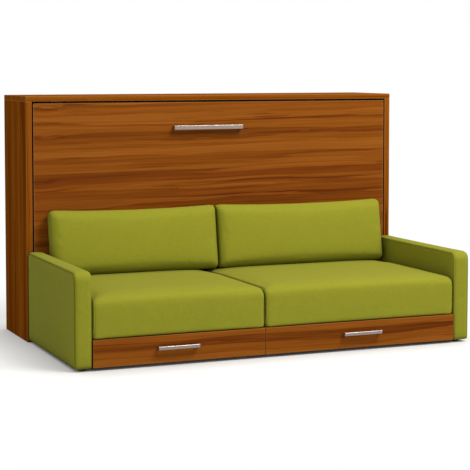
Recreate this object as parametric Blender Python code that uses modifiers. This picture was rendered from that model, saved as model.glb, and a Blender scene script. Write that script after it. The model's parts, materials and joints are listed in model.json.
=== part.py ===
# Wall bed with sofa: a horizontal single bed that folds down over a two-cushion sofa.
# Metres, +Z up, +X to the right as seen from the front, the front towards -Y.
# The origin lies on the floor, in the middle of the whole piece of furniture.
# "Forward" is a distance in front of the cabinet's front plane, so what lies inside is negative.

import math

import bmesh
import bpy
from mathutils import Matrix, Vector

# Gap left between pieces that touch, and the overrun of a cutter past the face it goes through
touch = 0.0003
overrun = 0.002

# Cabinet
cabinet_width = 2.14
cabinet_height = 1.29
cabinet_depth = 0.45
side_thickness = 0.032
top_thickness = 0.028
floor_board_thickness = 0.022
floor_board_clearance = 0.050
back_board_thickness = 0.008
lower_panel_thickness = 0.019
lower_panel_gap = 0.004
board_edge = 0.0012

# Wall brackets, steel angles under the top board
bracket_leg = 0.040
bracket_thickness = 0.003
bracket_width = 0.060
bracket_inset = 0.258

# Sofa base and arms
sofa_depth = 0.870
sofa_inset = 0.004
arm_thickness = 0.080
arm_height = 0.478
arm_edge = 0.016
arm_front_radius = 0.040
arm_rear_radius = 0.025
foot_height = 0.012
foot_radius = 0.017
foot_setback = 0.050
deck_thickness = 0.016
base_board_thickness = 0.016
base_clearance = 0.016
split_place = -0.090
split_gap = 0.003

# Drawers
drawer_front_height = 0.134
drawer_front_thickness = 0.019
drawer_front_side_gap = 0.002
drawer_front_top_gap = 0.002
drawer_wall_thickness = 0.012
drawer_wall_height = 0.085
drawer_wall_clearance = 0.014
drawer_bottom_thickness = 0.006
drawer_bottom_rise = 0.004
drawer_length = 0.620
runner_thickness = 0.006
runner_height = 0.030
runner_rise = 0.026

# Seat cushions
seat_height = 0.362
seat_front_radius = 0.058
seat_edge_radius = 0.026
seat_crown = 0.014
seat_pull = 0.004
seat_rear_gap = 0.015
seat_side_gap = 0.002

# Back cushions
back_top_height = 0.692
back_thickness = 0.112
back_lean = math.radians(9.0)
back_foot_fade = 0.120
back_edge_radius = 0.030
back_crown = 0.018
back_pull = 0.006
back_side_gap = 0.020
back_split_place = -0.035
back_split_gap = 0.006

# Bed, whose mattress lies across the cabinet with room for the mechanism at each end
mechanism_space = 0.038
mattress_width = 0.900
mattress_thickness = 0.160
mattress_edge = 0.022
bed_panel_thickness = 0.019
bed_panel_side_gap = 0.005
bed_panel_top_gap = 0.007
bed_panel_margin = 0.005
mattress_top_setback = 0.022
frame_tube = 0.030
frame_bays = 3
slat_thickness = 0.012
slat_width = 0.060
slat_tape_width = 0.050
slat_margin = 0.015
slat_count = 14
strap_width = 0.050
strap_thickness = 0.003
strap_inset = 0.480

# Bed pivots, levers, stops and gas struts
pivot_setback = 0.050
pivot_pin_radius = 0.008
bore_clearance = 0.0003
pin_tip_gap = 0.0007
plate_thickness = 0.006
plate_radius = 0.026
lever_thickness = 0.008
lever_length = 0.090
lever_radius = 0.022
flange_thickness = 0.006
flange_up = 0.160
flange_down = 0.130
flange_width = 0.022
stop_front = 0.002
stop_depth = 0.034
stop_height = 0.020
strut_rise = 0.450
strut_setback = 0.250
barrel_radius = 0.010
barrel_length = 0.290
barrel_bore_radius = 0.008
barrel_cap = 0.012
barrel_start = 0.006
rod_radius = 0.005
rod_length = 0.335
rod_clearance = 0.0005
piston_radius = 0.0074
piston_length = 0.012
eye_radius = 0.012
eye_thickness = 0.010
eye_pin_radius = 0.005
eye_pin_overhang = 0.001
stud_radius = 0.008
stud_gap = 0.0005
bumper_height = 0.040
bumper_depth = 0.020
bumper_below_top = 0.080
bumper_reach = 0.035

# Handles
bed_handle_length = 0.400
bed_handle_height = 0.022
bed_handle_reach = 0.032
bed_handle_centre = -0.055
bed_handle_drop = 0.140
drawer_handle_length = 0.212
drawer_handle_height = 0.0165
drawer_handle_reach = 0.028
drawer_handle_rise = 0.008
left_handle_offset = 0.018
right_handle_offset = 0.005
handle_bar_depth = 0.010
handle_post_width = 0.012
handle_edge = 0.0012

# Mesh fineness
merge_distance = touch / 10
sharp_angle = math.radians(40.0)
round_sides = 24
arc_steps = 10
cushion_cuts = 9
edge_steps = 3

# Cabinet places worked out from the sizes above
total_depth = cabinet_depth + sofa_depth + drawer_handle_reach
back_y = total_depth / 2
front_y = back_y - cabinet_depth
cabinet_half = cabinet_width / 2
inner_half = cabinet_half - side_thickness
inner_top = cabinet_height - top_thickness
bracket_centre = inner_half - bracket_inset
arm_outer = cabinet_half - sofa_inset
arm_inner = arm_outer - arm_thickness
mattress_length = cabinet_width - 2 * (side_thickness + mechanism_space)

# Bed places: the open bed rests on the arms, which sets the height of its pivots
pivot_height = arm_height + touch + pivot_setback
bed_panel_top = inner_top - bed_panel_top_gap
mattress_top = bed_panel_top - mattress_top_setback
bed_handle_level = bed_panel_top - bed_handle_drop
mattress_low = mattress_top - mattress_width
bed_panel_low = mattress_low - bed_panel_margin
bed_panel_half = inner_half - bed_panel_side_gap
bed_half = mattress_length / 2
strap_centre = bed_half - strap_inset
panel_corner_swing = math.hypot(pivot_setback, pivot_height - bed_panel_low)
lower_panel_top = pivot_height - panel_corner_swing - lower_panel_gap
frame_front = -bed_panel_thickness - touch
frame_back = frame_front - frame_tube
slat_front = frame_back - touch
slat_back = slat_front - slat_thickness
mattress_front = slat_back - touch
mattress_back = mattress_front - mattress_thickness

# Mechanism places, the same on both sides
lever_inner = bed_half + touch
lever_outer = lever_inner + lever_thickness
plate_outer = inner_half - touch
plate_inner = plate_outer - plate_thickness
strut_centre = (lever_outer + plate_inner) / 2
eye_inner = strut_centre - eye_thickness / 2

# Sofa places
drawer_front_top = base_clearance + drawer_front_height
cushion_low = drawer_front_top + drawer_front_top_gap
deck_top = cushion_low - touch
deck_low = deck_top - deck_thickness
drawer_rear_face = sofa_depth - drawer_front_thickness
base_front = drawer_rear_face - touch
bay_side = arm_inner - touch - base_board_thickness

finishes = {}
collections = {}

# Colour, roughness and metalness of each finish
finish_table = {
    "wood": ((0.28, 0.10, 0.025), 0.42, 0.0),
    "wood_vertical": ((0.16, 0.055, 0.015), 0.45, 0.0),
    "board": ((0.62, 0.58, 0.50), 0.60, 0.0),
    "fabric": ((0.27, 0.30, 0.035), 0.95, 0.0),
    "ticking": ((0.80, 0.79, 0.75), 0.95, 0.0),
    "webbing": ((0.10, 0.10, 0.11), 0.90, 0.0),
    "beech": ((0.66, 0.48, 0.29), 0.55, 0.0),
    "satin_metal": ((0.58, 0.55, 0.53), 0.30, 1.0),
    "steel": ((0.45, 0.46, 0.48), 0.38, 1.0),
    "black_steel": ((0.03, 0.03, 0.035), 0.35, 0.6),
    "rubber": ((0.03, 0.03, 0.03), 0.85, 0.0),
    "black_plastic": ((0.02, 0.02, 0.02), 0.50, 0.0),
}


def y_at(forward):
    """World Y of a place that far in front of the cabinet's front plane."""
    return front_y - forward


def clear_scene():
    for old in list(bpy.data.objects):
        bpy.data.objects.remove(old, do_unlink=True)


def make_collections():
    for key, title in (("parts", "wall_bed_with_sofa"), ("cutters", "cutters"), ("pivots", "pivots")):
        collections[key] = bpy.data.collections.new(title)
        bpy.context.scene.collection.children.link(collections[key])


def make_finish(name, colour, roughness, metallic):
    finish = bpy.data.materials.new(name)
    finish.use_nodes = True
    shader = finish.node_tree.nodes["Principled BSDF"]
    shader.inputs["Base Color"].default_value = (*colour, 1.0)
    shader.inputs["Roughness"].default_value = roughness
    shader.inputs["Metallic"].default_value = metallic
    finishes[name] = finish


def make_pivot(name, place):
    """An empty on a joint's axis, which carries the pieces that move with the joint."""
    pivot = bpy.data.objects.new(name, None)
    pivot.location = place
    pivot.empty_display_size = frame_tube
    collections["pivots"].objects.link(pivot)
    return pivot


def make_piece(name, form, finish, place=(0, 0, 0), pivot=None, kind="parts"):
    """Turn a bmesh into a named object whose origin is at a world place."""
    mesh = bpy.data.meshes.new(name)
    form.to_mesh(mesh)
    form.free()
    piece = bpy.data.objects.new(name, mesh)
    place = Vector(place)
    if pivot is not None:
        piece.parent = pivot
        place = place - pivot.location
    piece.location = place
    collections[kind].objects.link(piece)
    if kind == "cutters":
        piece.hide_render = True
        piece.display_type = "WIRE"
    else:
        mesh.materials.append(finishes[finish])
    return piece


def box_form(size):
    form = bmesh.new()
    bmesh.ops.create_cube(form, size=1.0)
    bmesh.ops.scale(form, vec=size, verts=form.verts)
    return form


def add_box(name, x_range, forward_range, z_range, finish, pivot=None, edge=0.0, kind="parts"):
    """A board or block between two places on each axis, with softened edges if edge is given."""
    y_range = [y_at(forward) for forward in forward_range]
    spans = (x_range, y_range, z_range)
    size = [abs(high - low) for low, high in spans]
    centre = [(low + high) / 2 for low, high in spans]
    piece = make_piece(name, box_form(size), finish, centre, pivot, kind)
    if edge:
        soften(piece, edge, 1)
    return piece


def soften(piece, width, steps):
    bevel = piece.modifiers.new("soft_edges", "BEVEL")
    bevel.width = width
    bevel.segments = steps
    bevel.limit_method = "ANGLE"
    return bevel


def shade_round(piece):
    piece.data.shade_smooth()
    piece.data.set_sharp_from_angle(angle=sharp_angle)


def add_bar(name, start, end, radius, finish, pivot=None, kind="parts", origin=None):
    """A round bar between two world points, with its origin at start unless another is given."""
    start, end = Vector(start), Vector(end)
    origin = start if origin is None else Vector(origin)
    run = end - start
    form = bmesh.new()
    bmesh.ops.create_cone(form, cap_ends=True, segments=round_sides, radius1=radius,
                          radius2=radius, depth=run.length)
    turn = Vector((0, 0, 1)).rotation_difference(run.normalized()).to_matrix().to_4x4()
    middle = Matrix.Translation((start + end) / 2 - origin)
    bmesh.ops.transform(form, matrix=middle @ turn, verts=form.verts)
    piece = make_piece(name, form, finish, origin, pivot, kind)
    if kind == "parts":
        shade_round(piece)
    return piece


def combine(piece, other, operation):
    step = piece.modifiers.new(other.name, "BOOLEAN")
    step.operation = operation
    step.object = other


def join(piece, other):
    combine(piece, other, "UNION")


def cut(piece, other):
    combine(piece, other, "DIFFERENCE")


def outline_form(loops, depth):
    """A flat outline, its first loop the edge and the others holes, given a thickness."""
    curve = bpy.data.curves.new("outline", "CURVE")
    curve.dimensions = "2D"
    curve.fill_mode = "BOTH"
    curve.extrude = depth / 2
    for loop in loops:
        spline = curve.splines.new("POLY")
        spline.points.add(len(loop) - 1)
        for point, (across, up) in zip(spline.points, loop):
            point.co = (across, up, 0, 1)
        spline.use_cyclic_u = True
    guide = bpy.data.objects.new("outline", curve)
    bpy.context.scene.collection.objects.link(guide)
    solved = guide.evaluated_get(bpy.context.evaluated_depsgraph_get())
    mesh = bpy.data.meshes.new_from_object(solved)
    form = bmesh.new()
    form.from_mesh(mesh)
    bmesh.ops.remove_doubles(form, verts=form.verts, dist=merge_distance)
    bmesh.ops.recalc_face_normals(form, faces=form.faces)
    bpy.data.objects.remove(guide)
    bpy.data.curves.remove(curve)
    bpy.data.meshes.remove(mesh)
    return form


def add_side_outline(name, loops, x_range, finish, pivot=None):
    """Loops of (forward, height), given their thickness along X."""
    form = outline_form(loops, abs(x_range[1] - x_range[0]))
    turn = Matrix(((0, 0, -1, 0), (-1, 0, 0, 0), (0, 1, 0, 0), (0, 0, 0, 1)))
    bmesh.ops.transform(form, matrix=turn, verts=form.verts)
    place = Vector((sum(x_range) / 2, front_y, 0))
    if pivot is not None:
        bmesh.ops.translate(form, vec=place - pivot.location, verts=form.verts)
        place = pivot.location
    return make_piece(name, form, finish, place, pivot)


def add_front_outline(name, loops, forward_range, finish, pivot=None):
    """Loops of (X, height), given their thickness along Y."""
    form = outline_form(loops, abs(forward_range[1] - forward_range[0]))
    turn = Matrix(((1, 0, 0, 0), (0, 0, -1, 0), (0, 1, 0, 0), (0, 0, 0, 1)))
    bmesh.ops.transform(form, matrix=turn, verts=form.verts)
    return make_piece(name, form, finish, (0, y_at(sum(forward_range) / 2), 0), pivot)


def rectangle(low_x, high_x, low_z, high_z):
    return [(low_x, low_z), (high_x, low_z), (high_x, high_z), (low_x, high_z)]


def arc(centre, radius, first, last):
    points = []
    for step in range(arc_steps + 1):
        angle = first + (last - first) * step / arc_steps
        points.append((centre[0] + radius * math.cos(angle), centre[1] + radius * math.sin(angle)))
    return points


def capsule(start, end, radius):
    """The outline of a bar with round ends between two points."""
    heading = math.atan2(end[1] - start[1], end[0] - start[0])
    right, left = heading - math.pi / 2, heading + math.pi / 2
    return arc(end, radius, right, left) + arc(start, radius, left, left + math.pi)


def add_cushion(name, size, low_corner, radii, crown, pull, finish, place, pivot=None, lean=None):
    """A crowned cushion in a box of the given size, measured from its origin's place.

    Its local +Z face is crowned and its local -Y edge there takes the second, larger radius.
    The sides pull in between the corners. With a lean it stands on its -Y edge, its crowned
    face to the front, and its foot is cut level behind its origin.
    """
    half = Vector(size) / 2
    middle = Vector(low_corner) + half
    edge_radius, front_radius = radii
    form = bmesh.new()
    bmesh.ops.create_cube(form, size=2.0)
    bmesh.ops.subdivide_edges(form, edges=form.edges, cuts=cushion_cuts, use_grid_fill=True)
    for vert in form.verts:
        unit = [math.copysign(1 - (1 - abs(value)) ** 2, value) for value in vert.co]
        at_front_top = max(0.0, unit[2]) * max(0.0, -unit[1])
        radius = edge_radius + (front_radius - edge_radius) * at_front_top ** 2
        spot = Vector([reach * value for reach, value in zip(half, unit)])
        core = Vector([max(-reach + radius, min(reach - radius, value))
                       for reach, value in zip(half, spot)])
        if (spot - core).length > 0:
            spot = core + (spot - core).normalized() * radius
        fall = 1 - (1 - unit[0] ** 4) * (1 - unit[1] ** 4)
        spot.z -= crown * fall * max(0.0, unit[2])
        spot.x -= pull * unit[0] * (1 - unit[1] ** 2)
        spot.y -= pull * unit[1] * (1 - unit[0] ** 2) * (1 - abs(unit[2]))
        spot += middle
        if lean is not None and spot.z < 0:
            share = max(0.0, 1 - (spot.y - low_corner[1]) / back_foot_fade)
            spot.y -= spot.z * math.tan(lean) * share
        vert.co = spot
    piece = make_piece(name, form, finish, place, pivot)
    if lean is not None:
        piece.rotation_euler.x = math.pi / 2 - lean
    shade_round(piece)
    return piece


def build_cabinet():
    for label, side in (("left", -1), ("right", 1)):
        add_box(f"cabinet_side_{label}", (side * inner_half, side * cabinet_half), (-cabinet_depth, 0),
                (0, inner_top - touch), "wood_vertical", edge=board_edge)
    add_box("cabinet_top", (-cabinet_half, cabinet_half), (-cabinet_depth, 0),
            (inner_top, cabinet_height), "wood", edge=board_edge)
    fitted = inner_half - touch
    back_front = back_board_thickness - cabinet_depth
    add_box("cabinet_floor_board", (-fitted, fitted),
            (back_front + touch, -lower_panel_thickness - touch),
            (floor_board_clearance, floor_board_clearance + floor_board_thickness), "board")
    add_box("cabinet_back_board", (-fitted, fitted), (-cabinet_depth, back_front),
            (floor_board_clearance, inner_top - touch), "board")
    add_box("lower_front_panel", (-fitted, fitted), (-lower_panel_thickness, 0),
            (0, lower_panel_top), "wood")
    build_wall_brackets(back_front + touch)


def build_wall_brackets(rear):
    """Steel angles that hold the top board to the wall through the back board."""
    top = inner_top - touch
    angle = [(rear, top), (rear, top - bracket_leg), (rear + bracket_thickness, top - bracket_leg),
             (rear + bracket_thickness, top - bracket_thickness),
             (rear + bracket_leg, top - bracket_thickness), (rear + bracket_leg, top)]
    for label, side in (("left", -1), ("right", 1)):
        centre = side * bracket_centre
        reach = (centre - bracket_width / 2, centre + bracket_width / 2)
        add_side_outline(f"wall_bracket_{label}", [angle], reach, "steel")


def build_side_plate(label, side):
    """The plate on the cabinet side: bed pivot, open stop and upper strut pin."""
    pivot_point = (-pivot_setback, pivot_height)
    strut_point = (-pivot_setback - strut_setback, pivot_height + strut_rise)
    plate = add_side_outline(f"pivot_plate_{label}", [capsule(pivot_point, strut_point, plate_radius)],
                             (side * plate_inner, side * plate_outer), "steel")
    root = side * (plate_inner + plate_thickness / 2)
    pins = (("bed_pin", pivot_point, pivot_pin_radius, lever_inner + pin_tip_gap),
            ("strut_pin", strut_point, eye_pin_radius, eye_inner - eye_pin_overhang))
    for title, (forward, height), radius, tip in pins:
        pin = add_bar(f"{title}_{label}", (root, y_at(forward), height),
                      (side * tip, y_at(forward), height), radius, "steel", kind="cutters")
        join(plate, pin)
    stop_low = pivot_height + lever_radius + touch
    stop = add_box(f"open_stop_{label}", (side * (lever_inner + pin_tip_gap), root),
                   (-pivot_setback - stop_front - stop_depth, -pivot_setback - stop_front),
                   (stop_low, stop_low + stop_height), "steel", kind="cutters")
    join(plate, stop)
    shade_round(plate)


def build_bumper(label, side):
    """The rubber block that the closed bed panel rests against."""
    top = bed_panel_top - bumper_below_top
    front = -bed_panel_thickness - touch
    outer = inner_half - touch
    add_box(f"closing_bumper_{label}", (side * (outer - bumper_reach), side * outer),
            (front - bumper_depth, front), (top - bumper_height, top), "rubber")


def build_bed(pivot):
    add_box("bed_panel", (-bed_panel_half, bed_panel_half), (-bed_panel_thickness, 0),
            (bed_panel_low, bed_panel_top), "wood", pivot, edge=board_edge)
    build_bed_frame(pivot)
    build_slats(pivot)
    mattress = add_box("mattress", (-bed_half, bed_half), (mattress_back, mattress_front),
                       (mattress_low, mattress_top), "ticking", pivot)
    soften(mattress, mattress_edge, edge_steps)
    build_straps(pivot)
    add_handle("bed_handle", bed_handle_centre, bed_handle_level, 0, bed_handle_length,
               bed_handle_height, bed_handle_reach, pivot)
    for label, side in (("left", -1), ("right", 1)):
        build_lever(label, side, pivot)


def build_bed_frame(pivot):
    """Welded steel tube frame: an outer rectangle with cross bars between equal bays."""
    loops = [rectangle(-bed_half, bed_half, mattress_low, mattress_top)]
    bay_width = (mattress_length - (frame_bays + 1) * frame_tube) / frame_bays
    for bay in range(frame_bays):
        start = -bed_half + frame_tube + bay * (bay_width + frame_tube)
        loops.append(rectangle(start, start + bay_width, mattress_low + frame_tube,
                               mattress_top - frame_tube))
    add_front_outline("bed_frame", loops, (frame_back, frame_front), "steel", pivot)


def build_slats(pivot):
    """Sprung slats, held at both ends by the webbing that keeps their spacing."""
    half_length = bed_half - slat_margin
    low, high = mattress_low + slat_margin, mattress_top - slat_margin
    loops = [rectangle(-half_length, half_length, low, high)]
    pitch = (2 * half_length - slat_width) / (slat_count - 1)
    for slat in range(slat_count - 1):
        start = -half_length + slat * pitch + slat_width
        loops.append(rectangle(start, start + pitch - slat_width, low + slat_tape_width,
                               high - slat_tape_width))
    add_front_outline("slat_mat", loops, (slat_back, slat_front), "beech", pivot)


def build_straps(pivot):
    """Webbing straps round the mattress, from the frame's top rail to its bottom rail."""
    inside_back = mattress_back - touch
    outside_back = inside_back - strap_thickness
    inside_top, inside_low = mattress_top + touch, mattress_low - touch
    loop = [(frame_front, inside_top), (frame_front, inside_top + strap_thickness),
            (outside_back, inside_top + strap_thickness), (outside_back, inside_low - strap_thickness),
            (frame_front, inside_low - strap_thickness), (frame_front, inside_low),
            (inside_back, inside_low), (inside_back, inside_top)]
    for label, side in (("left", -1), ("right", 1)):
        centre = side * strap_centre
        reach = (centre - strap_width / 2, centre + strap_width / 2)
        add_side_outline(f"mattress_strap_{label}", [loop], reach, "webbing", pivot)


def build_lever(label, side, pivot):
    """The steel arm on the end of the bed frame, with the bed's bore and the strut's stud."""
    centre = (-pivot_setback, pivot_height)
    foot = (-pivot_setback, pivot_height - lever_length)
    lever = add_side_outline(f"hinge_lever_{label}", [capsule(centre, foot, lever_radius)],
                             (side * lever_inner, side * lever_outer), "steel", pivot)
    frame_middle = (frame_front + frame_back) / 2
    flange = add_box(f"flange_{label}", (side * lever_inner, side * (lever_inner + flange_thickness)),
                     (frame_middle - flange_width / 2, frame_middle + flange_width / 2),
                     (pivot_height - flange_down, pivot_height + flange_up), "steel", kind="cutters")
    join(lever, flange)
    stud = add_bar(f"stud_{label}", (side * (lever_outer - lever_thickness / 2), y_at(foot[0]), foot[1]),
                   (side * (eye_inner - stud_gap), y_at(foot[0]), foot[1]), stud_radius, "steel",
                   kind="cutters")
    join(lever, stud)
    bore = add_bar(f"lever_bore_{label}", (side * (lever_inner - overrun), y_at(centre[0]), centre[1]),
                   (side * (lever_outer + overrun), y_at(centre[0]), centre[1]),
                   pivot_pin_radius + bore_clearance, "steel", kind="cutters")
    cut(lever, bore)
    shade_round(lever)


def strut_points(side):
    """The strut's upper and lower pin centres with the bed closed, and the way between them."""
    upper = Vector((side * strut_centre, y_at(-pivot_setback - strut_setback), pivot_height + strut_rise))
    lower = Vector((side * strut_centre, y_at(-pivot_setback), pivot_height - lever_length))
    return upper, lower, (lower - upper).normalized()


def add_eye(owner, centre, along, bored):
    """The round end of a strut, bored for its pin where it has one."""
    outer = centre + along * (eye_thickness / 2)
    inner = centre - along * (eye_thickness / 2)
    join(owner, add_bar(f"{owner.name}_eye", inner, outer, eye_radius, "steel", kind="cutters"))
    if bored:
        hole = add_bar(f"{owner.name}_bore", inner - along * overrun, outer + along * overrun,
                       eye_pin_radius + bore_clearance, "steel", kind="cutters")
        cut(owner, hole)


def build_strut(label, side):
    """A gas strut: a barrel that swings on the cabinet and a rod that slides in it."""
    upper, lower, way = strut_points(side)
    across = Vector((1, 0, 0))
    swing = make_pivot(f"strut_swing_{label}", upper)
    name = f"strut_barrel_{label}"
    barrel = add_bar(name, upper + way * barrel_start, upper + way * barrel_length, barrel_radius,
                     "black_steel", swing, origin=upper)
    add_eye(barrel, upper, across, True)
    bore_start = eye_radius + barrel_cap
    bore = add_bar(f"{name}_chamber", upper + way * bore_start, upper + way * (barrel_length - barrel_cap),
                   barrel_bore_radius, "steel", kind="cutters")
    mouth = add_bar(f"{name}_mouth", upper + way * (barrel_length - barrel_cap - overrun),
                    upper + way * (barrel_length + overrun), rod_radius + rod_clearance, "steel",
                    kind="cutters")
    cut(barrel, bore)
    cut(barrel, mouth)
    slide = make_pivot(f"strut_slide_{label}", upper)
    rod = add_bar(f"strut_rod_{label}", lower - way * rod_length, lower, rod_radius, "steel", slide,
                  origin=lower)
    add_eye(rod, lower, across, False)
    piston = add_bar(f"strut_piston_{label}", lower - way * rod_length,
                     lower - way * (rod_length - piston_length), piston_radius, "steel", kind="cutters")
    join(rod, piston)


def add_handle(name, centre, level, face, length, height, reach, pivot=None):
    """A square bar handle on two posts, seen from above as a flat bracket."""
    rear, front = y_at(face + touch), y_at(face + reach)
    bar_rear = front + handle_bar_depth
    left, right = centre - length / 2, centre + length / 2
    outline = [(left, rear), (left, front), (right, front), (right, rear),
               (right - handle_post_width, rear), (right - handle_post_width, bar_rear),
               (left + handle_post_width, bar_rear), (left + handle_post_width, rear)]
    form = outline_form([outline], height)
    piece = make_piece(name, form, "satin_metal", (0, 0, level), pivot)
    soften(piece, handle_edge, 1)
    return piece


def build_arm(label, side):
    """An upholstered arm: a slab with its upper corners rounded and all its edges softened."""
    front = (sofa_depth - arm_front_radius, arm_height - arm_front_radius)
    rear = (touch + arm_rear_radius, arm_height - arm_rear_radius)
    outline = [(touch, foot_height), (sofa_depth, foot_height)]
    outline += arc(front, arm_front_radius, 0, math.pi / 2)
    outline += arc(rear, arm_rear_radius, math.pi / 2, math.pi)
    arm = add_side_outline(f"sofa_arm_{label}", [outline], (side * arm_inner, side * arm_outer), "fabric")
    soften(arm, arm_edge, edge_steps)
    shade_round(arm)


def build_sofa_base():
    fitted = arm_inner - touch
    for label, side in (("left", -1), ("right", 1)):
        build_arm(label, side)
        add_box(f"base_side_{label}", (side * bay_side, side * fitted), (touch, base_front),
                (base_clearance, deck_low - touch), "board")
        for end, forward in (("rear", foot_setback), ("front", sofa_depth - foot_setback)):
            middle = side * (arm_inner + arm_thickness / 2)
            foot = add_bar(f"sofa_foot_{end}_{label}", (middle, y_at(forward), 0),
                           (middle, y_at(forward), foot_height - touch), foot_radius, "black_plastic")
            shade_round(foot)
    add_box("seat_deck", (-fitted, fitted), (touch, base_front), (deck_low, deck_top), "board")
    half_divider = base_board_thickness / 2
    add_box("base_divider", (split_place - half_divider, split_place + half_divider),
            (touch, base_front), (base_clearance, deck_low - touch), "board")


def build_seat_cushions():
    reach = arm_inner - seat_side_gap
    spans = (("left", -reach, split_place - split_gap / 2), ("right", split_place + split_gap / 2, reach))
    for label, low, high in spans:
        size = (high - low, sofa_depth - seat_rear_gap, seat_height - cushion_low)
        add_cushion(f"seat_cushion_{label}", size, (0, 0, 0), (seat_edge_radius, seat_front_radius),
                    seat_crown, seat_pull, "fabric", (low, y_at(sofa_depth), cushion_low))


def build_back_cushions():
    """Back cushions that lean on the bed panel and fold forward about their bottom front edge."""
    rise = (back_top_height - seat_height) / math.cos(back_lean)
    forward = (touch + back_edge_radius + (back_thickness - 2 * back_edge_radius) * math.cos(back_lean)
               + (rise - 2 * back_edge_radius) * math.sin(back_lean))
    height = seat_height + touch + back_edge_radius
    reach = arm_inner - back_side_gap
    spans = (("left", -reach, back_split_place - back_split_gap / 2),
             ("right", back_split_place + back_split_gap / 2, reach))
    for label, low, high in spans:
        fold = make_pivot(f"back_fold_{label}", ((low + high) / 2, y_at(forward), height))
        size = (high - low, rise, back_thickness)
        corner = (-(high - low) / 2, -back_edge_radius, back_edge_radius - back_thickness)
        add_cushion(f"back_cushion_{label}", size, corner, (back_edge_radius, back_edge_radius),
                    back_crown, back_pull, "fabric", fold.location, fold, back_lean)


def build_drawer(label, bay_low, bay_high, front_low, front_high, handle_offset):
    """A drawer box on a pair of runners, with the fixed rails on the boards beside it."""
    slide = make_pivot(f"drawer_slide_{label}", ((front_low + front_high) / 2, y_at(sofa_depth), 0))
    front = f"drawer_front_{label}"
    add_box(front, (front_low, front_high), (drawer_rear_face, sofa_depth),
            (base_clearance, drawer_front_top), "wood", slide, edge=board_edge)
    middle = base_clearance + drawer_front_height / 2 + drawer_handle_rise
    add_handle(f"drawer_handle_{label}", (front_low + front_high) / 2 - handle_offset, middle, sofa_depth,
               drawer_handle_length, drawer_handle_height, drawer_handle_reach, slide)
    wall_low = base_clearance + drawer_wall_clearance
    wall_top = wall_low + drawer_wall_height
    rear = base_front - drawer_length
    runner = (wall_low + runner_rise, wall_low + runner_rise + runner_height)
    inner = []
    for end, start, inward in (("left", bay_low, 1), ("right", bay_high, -1)):
        rail = start + inward * touch
        slider = rail + inward * (runner_thickness + touch)
        wall = slider + inward * (runner_thickness + touch)
        inner.append(wall + inward * (drawer_wall_thickness + touch))
        add_box(f"drawer_{label}_rail_{end}", (rail, rail + inward * runner_thickness),
                (rear, base_front), runner, "steel")
        add_box(f"drawer_{label}_slider_{end}", (slider, slider + inward * runner_thickness),
                (rear, base_front), runner, "steel", slide)
        add_box(f"drawer_{label}_wall_{end}", (wall, wall + inward * drawer_wall_thickness),
                (rear, base_front), (wall_low, wall_top), "board", slide)
    rear_front = rear + drawer_wall_thickness
    add_box(f"drawer_{label}_back", inner, (rear, rear_front), (wall_low, wall_top), "board", slide)
    bottom = wall_low + drawer_bottom_rise
    add_box(f"drawer_{label}_bottom", inner, (rear_front + touch, base_front),
            (bottom, bottom + drawer_bottom_thickness), "board", slide)


def build_drawers():
    fitted = arm_inner - drawer_front_side_gap
    half_divider = base_board_thickness / 2
    build_drawer("left", -bay_side, split_place - half_divider, -fitted, split_place - split_gap / 2,
                 left_handle_offset)
    build_drawer("right", split_place + half_divider, bay_side, split_place + split_gap / 2, fitted,
                 right_handle_offset)


def build():
    clear_scene()
    make_collections()
    for name, (colour, roughness, metallic) in finish_table.items():
        make_finish(name, colour, roughness, metallic)
    build_cabinet()
    for label, side in (("left", -1), ("right", 1)):
        build_side_plate(label, side)
        build_bumper(label, side)
        build_strut(label, side)
    build_bed(make_pivot("bed_fold", (0, y_at(-pivot_setback), pivot_height)))
    build_sofa_base()
    build_seat_cushions()
    build_back_cushions()
    build_drawers()


build()
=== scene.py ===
# Looks, light and camera for the wall bed with sofa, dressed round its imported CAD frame.
# Metres, +X to the right, -Y to the front, +Z up. The frame gives every size and place.
import json
import math

import bmesh
import bpy
import numpy as np
from mathutils import Matrix, Vector


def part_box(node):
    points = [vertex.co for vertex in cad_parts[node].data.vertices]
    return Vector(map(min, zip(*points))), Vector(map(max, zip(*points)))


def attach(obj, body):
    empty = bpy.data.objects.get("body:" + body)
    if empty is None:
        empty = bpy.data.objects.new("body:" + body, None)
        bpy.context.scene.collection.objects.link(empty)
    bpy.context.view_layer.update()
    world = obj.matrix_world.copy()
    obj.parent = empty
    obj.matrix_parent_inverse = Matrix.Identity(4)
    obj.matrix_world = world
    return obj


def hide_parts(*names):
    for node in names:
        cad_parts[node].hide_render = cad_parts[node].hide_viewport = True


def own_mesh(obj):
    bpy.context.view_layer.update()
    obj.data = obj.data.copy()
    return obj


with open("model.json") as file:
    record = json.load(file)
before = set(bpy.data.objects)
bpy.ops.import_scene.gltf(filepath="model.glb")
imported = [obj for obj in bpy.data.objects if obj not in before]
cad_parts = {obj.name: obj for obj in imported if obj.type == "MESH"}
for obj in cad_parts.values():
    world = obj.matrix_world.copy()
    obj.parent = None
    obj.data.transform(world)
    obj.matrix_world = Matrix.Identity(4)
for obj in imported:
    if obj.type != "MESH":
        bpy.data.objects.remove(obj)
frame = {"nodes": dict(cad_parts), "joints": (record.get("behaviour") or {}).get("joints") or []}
nodes = frame["nodes"]
scene = bpy.context.scene
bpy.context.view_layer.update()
origin = (0.0, 0.0, 0.0)
quarterTurn = math.pi / 2
print("stage: frame loaded,", len(nodes), "nodes")


# Small helpers for object-mode and edit-mode work

def pick(piece=None):
    bpy.ops.object.select_all(action="DESELECT")
    if piece:
        piece.select_set(True)
        bpy.context.view_layer.objects.active = piece


def settle(piece):
    # Place, turn and size go into the mesh, so the object stays at the origin
    pick(piece)
    bpy.ops.object.transform_apply(location=True, rotation=True, scale=True)


def named(name):
    piece = bpy.context.object
    piece.name = name
    piece.data.name = name
    return piece


def addBlock(name, low, high):
    low, high = Vector(low), Vector(high)
    pick()
    bpy.ops.mesh.primitive_cube_add(size=1, location=(low + high) / 2)
    piece = named(name)
    piece.scale = high - low
    settle(piece)
    return piece


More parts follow.
